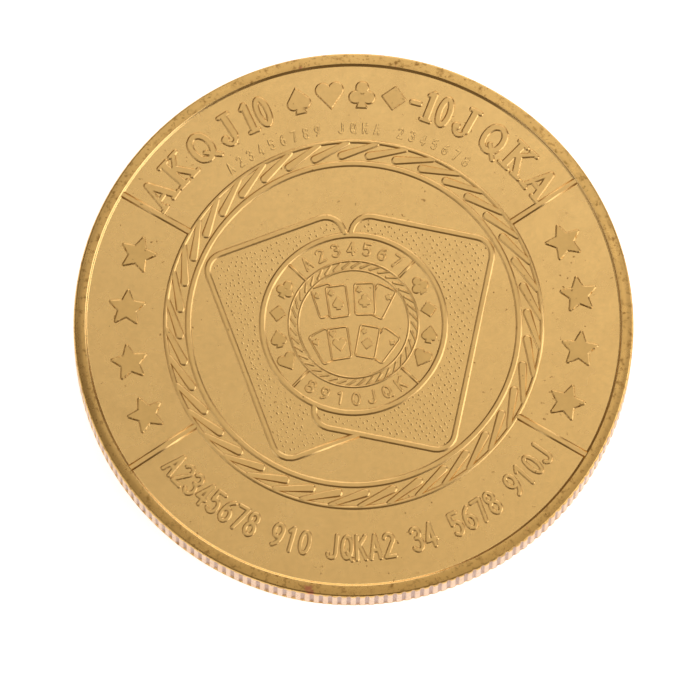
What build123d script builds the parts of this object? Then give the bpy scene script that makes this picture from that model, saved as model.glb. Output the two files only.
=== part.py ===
"""Struck card-guard coin, used on the table as a dealer button.

The coin is one struck piece of base metal with two plated layers over it. The layers are nested
closed skins: each is the same struck shape, moved inwards by the plating that lies over it.
+Z is the normal of the obverse, +Y is the top of the design, and the origin is the middle of
the face that the coin rests on. All sizes are in millimetres.
"""

import os
from math import asin, atan2, cos, degrees, hypot, radians, sin

from build123d import *

# Blank and edge
coin_diameter = 40.0
coin_thickness = 3.0
rim_width = 0.92
rim_height = 0.20  # the rim stands this far above the field
rim_draft = 0.08  # slope of the rim's inner wall, as a run over its height
shoulder_radius = 0.35  # rounding between the rim's flat and the edge
reed_count = 190
reed_depth = 0.12
reed_cutter_radius = 0.20
reed_step = 0.03  # the reeded band's end stands this far out from the shoulder, at a groove

# Plated layers
gold_thickness = 0.05
copper_thickness = 0.05

# Relief
line_height = 0.10  # rings, rope, bars, stars, card outlines and the legend
fine_height = 0.07  # what stands inside the chip
relief_root = 0.06  # every relief starts this far under the field

# Rope border
rope_outer_radius = 13.60
rope_border_width = 0.30
rope_width = 1.95  # from the border's outer side to the inner ring's inner side
rope_band_width = 0.32
strand_count = 40
strand_width = 0.52
strand_gap = 0.41  # between the inner ring and the strands' round ends
strand_lean = 17.5  # degrees from the ring's tangent
strand_start = 2.1  # degrees from +X to the first strand's inner end

# Four bars that part the outer band
bar_half_angle = 58.2  # degrees from the vertical
bar_width = 0.42

# Stars
star_offset = -0.12  # outwards from the middle of the outer band
star_radius = 1.25
star_waist_radius = 0.56
star_spacing = 14.2  # degrees
star_drop = 1.2  # degrees that each side's stars sit below the level line
stars_a_side = 4

# Two playing cards
card_width = 10.6
card_height = 16.25
card_corner_radius = 1.5
card_line_width = 0.38
left_card = (-3.28, -0.90, 18.5)  # centre and turn in degrees
right_card = (3.51, -0.75, -13.4)

# Poker chip in the middle
chip_radius = 6.74
chip_ring_width = 0.42
chip_band_radius = 4.70
chip_window_radius = 4.02
chip_thread_width = 0.14
chip_bar_half_angle = 45.0
pip_ring_radius = 5.45
pip_spacing = 19.5  # degrees
pip_height = 1.30

# Hands of cards in the chip's window
hand_card_width = 1.5
hand_card_height = 2.35
hand_card_corner = 0.2
hand_line_width = 0.12
hand_pip_height = 1.0
# each hand's suit, with its front card's centre and turn and its back card's
hands = [("spade", (-1.08, 1.67, 6.5), (-2.0, 1.75, 16.0)),
         ("club", (0.85, 1.80, 0.0), (1.95, 1.60, -28.0)),
         ("heart", (-1.05, -1.40, 7.0), (-2.1, -1.60, 27.0)),
         ("diamond", (0.95, -1.35, -12.0), (2.05, -1.65, -38.0))]

# Legend: the ranks of a pack of cards stand where a coin has its lettering
legend_marks = ["A", "K", "Q", "J", "10", "", "spade", "heart", "club", "diamond", "-",
                "10", "J", "Q", "K", "A"]
legend_offset = 0.58  # outwards from the middle of the outer band
legend_height = 2.2
legend_stroke = 0.40
legend_pitch = 7.9  # degrees from a mark to the next
narrow_share = 0.3  # a gap or a dash takes this share of a mark's width

coin_radius = coin_diameter / 2
rim_inner_radius = coin_radius - rim_width
edge_radius = coin_radius - reed_depth - reed_step  # where the shoulder meets the edge
rope_inner_radius = rope_outer_radius - rope_width
strand_end_radius = rope_inner_radius + rope_band_width + strand_gap
band_middle = (rope_outer_radius + rim_inner_radius) / 2

# Strokes of each rank on a cell one unit high: straight ones give two ends, and round ones
# give a centre, a radius, a start angle and a sweep in degrees.
oval = [(0.0, 0.2, 0.27, 0, 180), (-0.27, 0.2, -0.27, -0.2), (0.0, -0.2, 0.27, 180, 180),
        (0.27, -0.2, 0.27, 0.2)]
strokes = {
    "A": [(-0.3, -0.5, 0.0, 0.5), (0.0, 0.5, 0.3, -0.5), (-0.18, -0.14, 0.18, -0.14),
          (-0.42, -0.5, -0.2, -0.5), (0.2, -0.5, 0.42, -0.5)],
    "K": [(-0.26, -0.5, -0.26, 0.5), (0.27, 0.5, -0.26, -0.06), (-0.1, 0.1, 0.3, -0.5),
          (-0.38, -0.5, -0.14, -0.5), (-0.38, 0.5, -0.14, 0.5), (0.2, -0.5, 0.4, -0.5),
          (0.16, 0.5, 0.36, 0.5)],
    "Q": oval + [(0.06, -0.24, 0.34, -0.56)],
    "J": [(0.16, 0.5, 0.16, -0.27), (-0.07, -0.27, 0.23, 180, 180), (0.02, 0.5, 0.3, 0.5)],
    "1": [(0.0, 0.5, 0.0, -0.5), (-0.14, 0.36, 0.0, 0.5), (-0.12, -0.5, 0.12, -0.5)],
    "0": [(0.0, 0.28, 0.14, 0, 180), (-0.14, 0.28, -0.14, -0.28), (0.0, -0.28, 0.14, 180, 180),
          (0.14, -0.28, 0.14, 0.28)],
    "-": [(-0.12, 0.0, 0.12, 0.0)],
}
suits = ("spade", "heart", "club", "diamond")
ten_spread = 0.21  # the two figures of a ten stand this share of their height from its middle


def stroke_shape(stroke, height, width):
    """One stroke of a rank, added to the sketch that is open."""
    if len(stroke) == 4:
        x0, y0, x1, y1 = (height * value for value in stroke)
        turn = degrees(atan2(y1 - y0, x1 - x0))
        with Locations(Location(((x0 + x1) / 2, (y0 + y1) / 2), turn)):
            SlotCenterToCenter(hypot(x1 - x0, y1 - y0), width)
        return
    x, y, radius, start, sweep = stroke
    with Locations((height * x, height * y)):
        SlotArc(CenterArc((0, 0), height * radius, start, sweep), width)


def rank_sketch(rank, height, width):
    """A rank of one or two figures about its own middle."""
    offsets = (-ten_spread, ten_spread) if len(rank) == 2 else (0,)
    with BuildSketch() as sketch:
        for figure, offset in zip(rank, offsets):
            with Locations((offset * height, 0)):
                for stroke in strokes[figure]:
                    stroke_shape(stroke, height, width)
    return sketch.sketch


def heart_sketch(height):
    """Two lobes and the point whose sides are tangent to them."""
    lobe = 0.27 * height
    lobe_x, lobe_y, tip_y = 0.24 * height, 0.22 * height, -0.5 * height
    reach = hypot(lobe_x, lobe_y - tip_y)
    turn = atan2(lobe_y - tip_y, lobe_x) - asin(lobe / reach)
    run = (reach**2 - lobe**2) ** 0.5
    side = (run * cos(turn), tip_y + run * sin(turn))
    with BuildSketch() as heart:
        with BuildLine():
            Polyline((0, tip_y), side, (0, lobe_y), (-side[0], side[1]), close=True)
        make_face()
        with Locations((-lobe_x, lobe_y), (lobe_x, lobe_y)):
            Circle(lobe)
    return heart.sketch


def pip_sketch(suit, height):
    """A suit mark about its own middle."""
    with BuildSketch() as pip:
        if suit == "heart":
            add(heart_sketch(height))
        elif suit == "diamond":
            with BuildLine():
                Polyline((0, -height / 2), (0.4 * height, 0), (0, height / 2),
                         (-0.4 * height, 0), close=True)
            make_face()
        else:
            with BuildLine():
                Polyline((-0.2 * height, -0.5 * height), (0.2 * height, -0.5 * height),
                         (0, 0.1 * height), close=True)
            make_face()
        if suit == "spade":
            with Locations(Location((0, 0.08 * height), 180)):
                add(heart_sketch(0.84 * height))
        if suit == "club":
            with Locations((0, 0.26 * height), (-0.24 * height, -0.1 * height),
                           (0.24 * height, -0.1 * height)):
                Circle(0.235 * height)
    return pip.sketch


def around(radius, angle, turn):
    """A place on a ring, where angle is from +X and turn is that of what stands there."""
    return Location((radius * cos(radians(angle)), radius * sin(radians(angle))), turn)


def ring(outer, width, inset):
    """A ring of a given width, made thinner from both sides by the inset."""
    Circle(outer - inset)
    Circle(outer - width + inset, mode=Mode.SUBTRACT)


def card_plate(inner, inset):
    """A card's outline, or the space inside its line."""
    step = card_line_width - inset if inner else inset
    RectangleRounded(card_width - 2 * step, card_height - 2 * step, card_corner_radius - step)


def card_outline(card, inset, covered_by=None):
    """One card's raised line, without what the chip and the other card cover."""
    x, y, turn = card
    with BuildSketch() as outline:
        with Locations(Location((x, y), turn)):
            card_plate(False, inset)
        with BuildSketch(mode=Mode.PRIVATE) as hollow:
            card_plate(True, inset)
        with Locations(Location((x, y), turn)):
            add(hollow.sketch, mode=Mode.SUBTRACT)
        if covered_by:
            with Locations(Location((covered_by[0], covered_by[1]), covered_by[2])):
                Rectangle(card_width - card_line_width, card_height - card_line_width,
                          mode=Mode.SUBTRACT)
        Circle(chip_radius - chip_ring_width / 2, mode=Mode.SUBTRACT)
    return outline.sketch


def strand(radius, end_radius, lean, width):
    """A rope strand at +X that runs outwards and clockwise to the ring of a given radius."""
    lean_angle = radians(lean)
    # the strand's far end lies on the outer ring
    along = -end_radius * sin(lean_angle) + (
        radius**2 - (end_radius * cos(lean_angle)) ** 2
    ) ** 0.5
    with Locations(Location((end_radius + along / 2 * sin(lean_angle),
                             -along / 2 * cos(lean_angle)), lean - 90)):
        SlotCenterToCenter(along, width)


def line_relief(inset):
    """The main lines of the design, which every layer has, as one sketch on the field."""
    with BuildSketch() as relief:
        ring(rope_outer_radius, rope_border_width, inset)
        ring(rope_inner_radius + rope_band_width, rope_band_width, inset)
        bar_start = rope_outer_radius - rope_border_width / 2
        bar_end = rim_inner_radius + rim_width / 3
        for middle in (90, 270):
            for side in (-1, 1):
                angle = middle + side * bar_half_angle
                with Locations(around((bar_start + bar_end) / 2, angle, angle)):
                    Rectangle(bar_end - bar_start, bar_width - 2 * inset)
        for middle in (0, 180):
            for index in range(stars_a_side):
                drop = star_drop if middle else -star_drop
                angle = middle + drop + (index - (stars_a_side - 1) / 2) * star_spacing
                with Locations(around(band_middle + star_offset, angle, angle - middle)):
                    add(star_sketch(inset))
        add(card_outline(left_card, inset, covered_by=right_card))
        add(card_outline(right_card, inset))
        ring(chip_radius, chip_ring_width, inset)
    return relief.sketch


def gold_relief():
    """The rope's strands and the legend, which are too narrow to show in the layers below."""
    with BuildSketch() as relief:
        with PolarLocations(0, strand_count, start_angle=strand_start):
            strand(rope_outer_radius - rope_border_width / 2, strand_end_radius, strand_lean,
                   strand_width)
        widths = [1.0 if len(mark) > 1 or mark.isalpha() else narrow_share
                  for mark in legend_marks]
        for index, mark in enumerate(legend_marks):
            place = sum(widths[:index]) + widths[index] / 2 - sum(widths) / 2
            angle = 90 - place * legend_pitch
            with Locations(around(band_middle + legend_offset, angle, angle - 90)):
                if mark in suits:
                    add(pip_sketch(mark, 0.9 * legend_height))
                elif mark:
                    add(rank_sketch(mark, legend_height, legend_stroke))
    return relief.sketch


def star_sketch(inset):
    """A five-pointed star with a point up, each side moved inwards by the inset."""
    points = []
    for index in range(10):
        radius = star_radius if index % 2 == 0 else star_waist_radius
        angle = radians(90 + 36 * index)
        points.append((radius * cos(angle), radius * sin(angle)))
    run = hypot(points[1][0] - points[0][0], points[1][1] - points[0][1])
    side_distance = abs(points[0][0] * points[1][1] - points[1][0] * points[0][1]) / run
    share = 1 - inset / side_distance
    with BuildSketch() as star:
        with BuildLine():
            Polyline(*[(share * x, share * y) for x, y in points], close=True)
        make_face()
    return star.sketch


def fine_relief():
    """What stands inside the chip."""
    with BuildSketch() as relief:
        for outer in (chip_band_radius, chip_window_radius):
            ring(outer, chip_thread_width, 0)
        bar_start = chip_band_radius - chip_thread_width / 2
        bar_end = chip_radius - chip_ring_width / 2
        for middle in (90, 270):
            for side in (-1, 1):
                angle = middle + side * chip_bar_half_angle
                with Locations(around((bar_start + bar_end) / 2, angle, angle)):
                    Rectangle(bar_end - bar_start, chip_thread_width)
        for middle, direction in ((0, 1), (180, -1)):
            for index, suit in enumerate(("heart", "spade", "diamond", "club")):
                angle = middle + direction * (index - 1.5) * pip_spacing
                with Locations(around(pip_ring_radius, angle, angle - middle)):
                    add(pip_sketch(suit, pip_height))
        for hand in hands:
            add(hand_of_cards(*hand))
    return relief.sketch


def hand_of_cards(suit, front, back):
    """Two small cards, the front one over the back one, with a suit mark."""
    inner_width = hand_card_width - 2 * hand_line_width
    inner_height = hand_card_height - 2 * hand_line_width
    inner_corner = hand_card_corner - hand_line_width
    with BuildSketch() as hand:
        for x, y, turn in (back, front):
            with Locations(Location((x, y), turn)):
                RectangleRounded(hand_card_width, hand_card_height, hand_card_corner)
                RectangleRounded(inner_width, inner_height, inner_corner, mode=Mode.SUBTRACT)
        with Locations(Location((front[0], front[1]), front[2])):
            add(pip_sketch(suit, hand_pip_height))
    return hand.sketch


def reeded_band():
    """The outline of the reeded edge, as a ring that reaches in past the shoulder's end."""
    with BuildSketch() as band:
        Circle(coin_radius)
        with PolarLocations(coin_radius - reed_depth + reed_cutter_radius, reed_count):
            Circle(reed_cutter_radius, mode=Mode.SUBTRACT)
        Circle(edge_radius - shoulder_radius, mode=Mode.SUBTRACT)
    return band.sketch


def struck_shape(inset):
    """The whole coin with every surface moved inwards by the inset, and a plain edge."""
    top = coin_thickness - inset
    field_top = coin_thickness - rim_height - inset
    field_bottom = rim_height + inset
    wall = rim_inner_radius + inset
    flat_end = edge_radius - shoulder_radius
    rounding = shoulder_radius - inset
    with BuildPart() as body:
        with BuildSketch(Plane.XZ):
            with BuildLine():
                Polyline((flat_end, inset), (wall + rim_draft, inset), (wall, field_bottom),
                         (0, field_bottom), (0, field_top), (wall, field_top),
                         (wall + rim_draft, top), (flat_end, top))
                CenterArc((flat_end, coin_thickness - shoulder_radius), rounding, 90, -90)
                Line((flat_end + rounding, coin_thickness - shoulder_radius),
                     (flat_end + rounding, shoulder_radius))
                CenterArc((flat_end, shoulder_radius), rounding, 0, -90)
            make_face()
        revolve(axis=Axis.Z)
        with BuildSketch(*face_planes(inset)):
            add(line_relief(inset))
        extrude(amount=relief_root + line_height)
    return body.part


def face_planes(inset):
    """The planes that the obverse's and the reverse's relief start from, with X turned over."""
    low = rim_height + inset + relief_root
    return (Plane(origin=(0, 0, coin_thickness - low), x_dir=(1, 0, 0), z_dir=(0, 0, 1)),
            Plane(origin=(0, 0, low), x_dir=(-1, 0, 0), z_dir=(0, 0, -1)))


under_gold = struck_shape(gold_thickness)

with BuildPart() as struck_core:
    add(struck_shape(gold_thickness + copper_thickness))
struck_core.part.label = "struck_core"

with BuildPart() as copper_underplate:
    add(under_gold)
    add(struck_core.part, mode=Mode.SUBTRACT)
copper_underplate.part.label = "copper_underplate"

with BuildPart() as gold_plate:
    add(struck_shape(0))
    with BuildSketch(Plane.XY.offset(shoulder_radius)):
        add(reeded_band())
    extrude(amount=coin_thickness - 2 * shoulder_radius)
    with BuildSketch(*face_planes(0)):
        add(gold_relief())
    extrude(amount=relief_root + line_height)
    with BuildSketch(*face_planes(0)):
        add(fine_relief())
    extrude(amount=relief_root + fine_height)
    add(under_gold, mode=Mode.SUBTRACT)
gold_plate.part.label = "gold_plate"

os.makedirs("parts", exist_ok=True)
export_step(struck_core.part, "parts/struck_core.step")
export_step(copper_underplate.part, "parts/copper_underplate.step")
export_step(gold_plate.part, "parts/gold_plate.step")
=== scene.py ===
import math

import bpy
from mathutils import Matrix, Vector


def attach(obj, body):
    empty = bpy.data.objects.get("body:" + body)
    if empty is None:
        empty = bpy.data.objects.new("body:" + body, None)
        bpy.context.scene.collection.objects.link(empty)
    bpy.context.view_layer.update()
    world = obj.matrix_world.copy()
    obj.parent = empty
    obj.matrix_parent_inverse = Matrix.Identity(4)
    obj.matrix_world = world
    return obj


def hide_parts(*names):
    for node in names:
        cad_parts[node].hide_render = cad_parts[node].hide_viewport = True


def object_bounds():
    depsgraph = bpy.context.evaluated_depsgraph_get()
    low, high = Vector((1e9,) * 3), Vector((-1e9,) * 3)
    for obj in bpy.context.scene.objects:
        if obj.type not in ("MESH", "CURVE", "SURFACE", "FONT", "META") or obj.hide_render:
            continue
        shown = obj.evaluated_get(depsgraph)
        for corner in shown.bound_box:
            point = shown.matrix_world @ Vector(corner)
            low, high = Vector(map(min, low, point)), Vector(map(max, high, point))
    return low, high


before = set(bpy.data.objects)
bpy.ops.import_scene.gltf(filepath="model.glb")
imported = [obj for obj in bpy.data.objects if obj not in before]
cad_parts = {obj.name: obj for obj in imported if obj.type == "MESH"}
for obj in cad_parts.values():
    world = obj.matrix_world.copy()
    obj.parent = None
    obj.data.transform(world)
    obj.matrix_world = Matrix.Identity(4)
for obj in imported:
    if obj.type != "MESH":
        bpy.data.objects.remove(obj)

cadLow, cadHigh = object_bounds()
mm = 0.001
coinTop = cadHigh.z
coinBottom = cadLow.z
coinRadius = (cadHigh.y - cadLow.y) / 2
coinMiddle = (coinTop + coinBottom) / 2

# levels of the struck face, shared by all of its pieces
face = {
    "rimHeight": 0.15 * mm,     # rim above the field
    "rimWidth": 0.92 * mm,
    "lineHeight": 0.085 * mm,   # main lines, stars, legends
    "fineHeight": 0.058 * mm,   # inside the chip
    "sink": 0.012 * mm,         # a piece starts this far under the field
    "dish": 0.07 * mm,          # the field is this much higher in the middle
    "segments": 384,
    "wallRun": 0.18 * mm,       # the rim's inner wall slopes over this much
}
fieldZ = coinTop - face["rimHeight"]
rimInner = coinRadius - face["rimWidth"]
print("coin", round(coinRadius * 2000, 2), "x", round((coinTop - coinBottom) * 1000, 2), "mm")


camera = {
    "azimuth": -3.8,
    "elevation": 76.35,
    "roll": 2.0,              # the coin's top leans this far to the right
    "distance": 1.0,
    "lens": 720.6,
    "aside": (0.258 * mm, 1.885 * mm),   # the coin's centre from the middle of the frame
}


def placeCamera(c):
    az, el, roll = (math.radians(c[k]) for k in ("azimuth", "elevation", "roll"))
    back = Vector((math.sin(az) * math.cos(el), -math.cos(az) * math.cos(el), math.sin(el)))
    right = Vector((math.cos(az), math.sin(az), 0))
    up = back.cross(right)
    imageX = right * math.cos(roll) + up * math.sin(roll)
    imageY = up * math.cos(roll) - right * math.sin(roll)
    data = bpy.data.cameras.new("camera")
    data.lens = c["lens"]
    data.clip_start, data.clip_end = 0.05, 10.0
    cam = bpy.data.objects.new("camera", data)
    bpy.context.scene.collection.objects.link(cam)
    turn = Matrix((imageX, imageY, back)).transposed().to_4x4()
    aim = Vector((0, 0, coinTop)) - imageX * c["aside"][0] - imageY * c["aside"][1]
    cam.matrix_world = Matrix.Translation(aim + back * c["distance"]) @ turn
    bpy.context.scene.camera = cam


placeCamera(camera)


def newMesh(name, verts, faces):
    mesh = bpy.data.meshes.new(name)
    mesh.from_pydata(verts, [], faces)
    mesh.validate()
    mesh.update()
    for p in mesh.polygons:
        p.use_smooth = True
    return mesh


def newObject(name, mesh):
    obj = bpy.data.objects.new(name, mesh)
    bpy.context.scene.collection.objects.link(obj)
    return obj


def joinMeshes(name, parts):
    verts, faces = [], []
    for v, f in parts:
        start = len(verts)
        verts += v
        faces += [tuple(start + i for i in corners) for corners in f]
    return newMesh(name, verts, faces)


def lathe(profile, segments):
    # profile runs outwards along the top of the surface; a radius of 0 closes to one point
    verts, faces, rows = [], [], []
    for r, z in profile:
        if r == 0:
            rows.append([len(verts)] * segments)
            verts.append((0, 0, z))
            continue
        rows.append(list(range(len(verts), len(verts) + segments)))
        for k in range(segments):
            a = 2 * math.pi * k / segments
            verts.append((r * math.cos(a), r * math.sin(a), z))
    for inner, outer in zip(rows, rows[1:]):
        for k in range(segments):
            n = (k + 1) % segments
            corners = (inner[k], outer[k], outer[n], inner[n])
            faces.append(tuple(dict.fromkeys(corners)))
    return verts, faces


def rise(t):
    # a straight flank with rounded foot and shoulder
    return 0.45 * t + 0.55 * t * t * (3 - 2 * t)


def ridgeSection(width, height, slope, steps=5):
    # a rounded ridge: (distance from its middle line, height above the field)
    half = []
    for i in range(steps + 1):
        t = i / steps
        half.append((width / 2 + slope * (0.5 - t), height * rise(t)))
    half[0] = (half[0][0] + slope * 0.08, -face["sink"])
    return [(-d, h) for d, h in half] + [(d, h) for d, h in reversed(half)]


def ringRidge(radius, width, height, slope):
    section = ridgeSection(width, height, slope)
    return lathe([(radius + d, fieldZ + h) for d, h in section], face["segments"])


def sweepRidge(path, width, height, slope, closed=False):
    # the ridge's section along a flat path, mitred at its corners
    section = ridgeSection(width, height, slope)
    count = len(path)
    verts, faces = [], []
    for i, p in enumerate(path):
        before = path[i - 1] if closed or i else None
        after = path[(i + 1) % count] if closed or i < count - 1 else None
        d0 = (p - before).normalized() if before else (after - p).normalized()
        d1 = (after - p).normalized() if after else d0
        tangent = (d0 + d1).normalized()
        side = Vector((-tangent.y, tangent.x))
        stretch = 1 / max(0.3, side.dot(Vector((-d0.y, d0.x))))
        for d, h in section:
            q = p - side * (d * stretch)
            verts.append((q.x, q.y, fieldZ + h))
    n = len(section)
    for i in range(count if closed else count - 1):
        a, b = i * n, ((i + 1) % count) * n
        for k in range(n - 1):
            faces.append((a + k, b + k, b + k + 1, a + k + 1))
    if not closed:
        faces.append(tuple(range(n)))
        faces.append(tuple(range((count - 1) * n + n - 1, (count - 1) * n - 1, -1)))
    return verts, faces


def arcPath(cx, cy, rx, ry, start, sweep, steps=None):
    steps = steps or max(2, round(abs(sweep) / 18))
    out = []
    for i in range(steps + 1):
        a = math.radians(start + sweep * i / steps)
        out.append(Vector((cx + rx * math.cos(a), cy + ry * math.sin(a))))
    return out


def roundedCard(width, height, corner, steps=6):
    path = []
    for sx, sy, start in ((1, 1, 0), (-1, 1, 90), (-1, -1, 180), (1, -1, 270)):
        cx, cy = sx * (width / 2 - corner), sy * (height / 2 - corner)
        path += arcPath(cx, cy, corner, corner, start, 90, steps)
    return path


def placed(path, x, y, turn):
    c, s = math.cos(math.radians(turn)), math.sin(math.radians(turn))
    return [Vector((x + c * p.x - s * p.y, y + s * p.x + c * p.y)) for p in path]


# A shape is a function of a point that gives its distance from the outline, less than 0 inside.

def strokeShape(lines):
    # lines are (points, half width); the shape is all of them together
    pieces = []
    for points, half in lines:
        for a, b in zip(points, points[1:]):
            d = b - a
            pieces.append((a.x, a.y, d.x, d.y, max(d.length_squared, 1e-18), half))

    def distance(x, y):
        best = 1.0
        for ax, ay, dx, dy, ll, half in pieces:
            px, py = x - ax, y - ay
            t = (px * dx + py * dy) / ll
            t = 0.0 if t < 0 else 1.0 if t > 1 else t
            qx, qy = px - t * dx, py - t * dy
            r = math.sqrt(qx * qx + qy * qy) - half
            if r < best:
                best = r
        return best
    return distance


def polygonShape(points, rounding=0.0):
    edges = list(zip(points, points[1:] + points[:1]))

    def distance(x, y):
        best, inside = 1.0, False
        for a, b in edges:
            dx, dy = b.x - a.x, b.y - a.y
            px, py = x - a.x, y - a.y
            t = (px * dx + py * dy) / (dx * dx + dy * dy)
            t = 0.0 if t < 0 else 1.0 if t > 1 else t
            qx, qy = px - t * dx, py - t * dy
            best = min(best, math.sqrt(qx * qx + qy * qy))
            if (a.y > y) != (b.y > y) and x < dx * (y - a.y) / dy + a.x:
                inside = not inside
        return (-best if inside else best) - rounding
    return distance


def unionShape(*shapes):
    return lambda x, y: min(s(x, y) for s in shapes)


def raise2d(shape, reach, height, slope, grid):
    # a shape raised from the field: the grid's vertices snap onto the foot and the top edge
    nx, ny = (math.ceil(r / grid) + 1 for r in reach)
    levels = (slope / 2, 0.0, -slope / 2)
    verts, index, faces = [], {}, []

    def vertex(i, j):
        if (i, j) in index:
            return index[i, j]
        x, y = i * grid, j * grid
        d = shape(x, y)
        level = min(levels, key=lambda v: abs(d - v))
        if abs(d - level) < 0.55 * grid:
            for _ in range(2):
                e = grid * 0.05
                gx = (shape(x + e, y) - shape(x - e, y)) / (2 * e)
                gy = (shape(x, y + e) - shape(x, y - e)) / (2 * e)
                g2 = gx * gx + gy * gy
                if g2 < 0.2:
                    break
                move = (d - level) / g2
                x, y = x - gx * move, y - gy * move
                d = shape(x, y)
        t = min(1.0, max(0.0, (slope / 2 - d) / slope))
        h = height * rise(t)
        if d > slope / 2 - 0.1 * grid:
            h = -face["sink"]
        index[i, j] = len(verts)
        verts.append((x, y, fieldZ + h))
        near.append(d)
        return index[i, j]

    near = []
    for j in range(-ny, ny):
        for i in range(-nx, nx):
            if shape((i + 0.5) * grid, (j + 0.5) * grid) > slope / 2 + grid:
                continue
            corners = [vertex(i, j), vertex(i + 1, j), vertex(i + 1, j + 1), vertex(i, j + 1)]
            deep = [near[c] <= slope / 2 + 0.15 * grid for c in corners]
            if sum(deep) == 4:
                a, b, c, d = corners
                # split along the diagonal whose ends are at like heights
                if abs(near[a] - near[c]) <= abs(near[b] - near[d]):
                    faces += [(a, b, c), (a, c, d)]
                else:
                    faces += [(a, b, d), (b, c, d)]
            elif sum(deep) == 3:
                faces.append(tuple(c for c, ok in zip(corners, deep) if ok))
    used = sorted({i for f in faces for i in f})
    renumber = {old: new for new, old in enumerate(used)}
    return [verts[i] for i in used], [tuple(renumber[i] for i in f) for f in faces]


def moved(part, x, y, turn):
    c, s = math.cos(math.radians(turn)), math.sin(math.radians(turn))
    verts, faces = part
    return [(x + c * vx - s * vy, y + s * vx + c * vy, vz) for vx, vy, vz in verts], faces


def onRing(radius, angle):
    return radius * math.cos(math.radians(angle)), radius * math.sin(math.radians(angle))


def line(*numbers):
    # points from their x and y in turn
    return [Vector(numbers[i:i + 2]) for i in range(0, len(numbers), 2)]


def heartOutline(h, flip=1):
    lobe, lx, ly, tip = 0.27 * h, 0.24 * h, 0.22 * h, -0.5 * h
    reach = math.hypot(lx, ly - tip)
    turn = math.atan2(ly - tip, lx) - math.asin(lobe / reach)
    run = math.sqrt(reach * reach - lobe * lobe)
    sx, sy = run * math.cos(turn), tip + run * math.sin(turn)
    start = math.degrees(math.atan2(sy - ly, sx - lx))
    end = math.degrees(math.acos(-lx / lobe))
    right = arcPath(lx, ly, lobe, lobe, start, end - start, 12)
    left = [Vector((-p.x, p.y)) for p in reversed(right)][1:]
    points = [Vector((0, tip))] + right + left
    return [Vector((p.x * flip, p.y * flip)) for p in points]


def pipShape(suit, h):
    if suit == "heart":
        return polygonShape(heartOutline(h))
    if suit == "diamond":
        r = 0.44 * h
        return polygonShape(line(0, -r, r, 0, 0, r, -r, 0), 0.01 * h)
    foot = polygonShape(line(-0.2 * h, -0.5 * h, 0.2 * h, -0.5 * h, 0, 0.1 * h))
    if suit == "spade":
        leaf = [p + Vector((0, 0.08 * h)) for p in heartOutline(0.84 * h, -1)]
        return unionShape(foot, polygonShape(leaf))
    lobes = line(0, 0.26 * h, -0.24 * h, -0.1 * h, 0.24 * h, -0.1 * h)

    def clover(x, y):
        return min(math.hypot(x - p.x, y - p.y) for p in lobes) - 0.235 * h

    return unionShape(foot, clover)


def oval(rx, ry, cy=0.0):
    return arcPath(0, cy, rx, ry, 0, 360, 24)


# each rank's lines on a cell one unit high
plainLines = {
    "A": [line(-0.2, -0.5, 0, 0.5, 0.2, -0.5), line(-0.13, -0.15, 0.13, -0.15)],
    "K": [line(-0.18, -0.5, -0.18, 0.5), line(0.18, 0.5, -0.18, -0.05),
          line(-0.06, 0.1, 0.2, -0.5)],
    "Q": [oval(0.2, 0.47), line(0.03, -0.25, 0.24, -0.54)],
    "J": [line(0.14, 0.5, 0.14, -0.28), arcPath(-0.03, -0.28, 0.17, 0.2, 0, -170)],
    "1": [line(-0.12, 0.32, 0.03, 0.5, 0.03, -0.5)],
    "2": [arcPath(0, 0.26, 0.19, 0.22, 160, -200) + line(-0.2, -0.5, 0.2, -0.5)],
    "3": [arcPath(-0.02, 0.26, 0.18, 0.22, 150, -240),
          arcPath(-0.02, -0.22, 0.2, 0.27, 90, -240)],
    "4": [line(0.08, -0.5, 0.08, 0.5, -0.2, -0.22, 0.2, -0.22)],
    "5": [line(0.17, 0.5, -0.15, 0.5, -0.17, 0.05)
          + arcPath(-0.02, -0.18, 0.2, 0.29, 130, -270)],
    "6": [arcPath(0.01, -0.2, 0.19, 0.28, 0, 360), arcPath(0.22, -0.18, 0.4, 0.66, 180, -75)],
    "7": [line(-0.2, 0.5, 0.2, 0.5, -0.05, -0.5)],
    "8": [oval(0.165, 0.22, 0.26), oval(0.195, 0.26, -0.23)],
    "9": [arcPath(-0.01, 0.2, 0.19, 0.28, 0, 360), arcPath(-0.22, 0.18, 0.4, 0.66, 0, -75)],
    "0": [oval(0.19, 0.47)],
}
plainRanks = {mark: [(points, 1) for points in lines] for mark, lines in plainLines.items()}


def serif(left, right, level=-0.46):
    return line(left, level, right, level), 0.7


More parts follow.
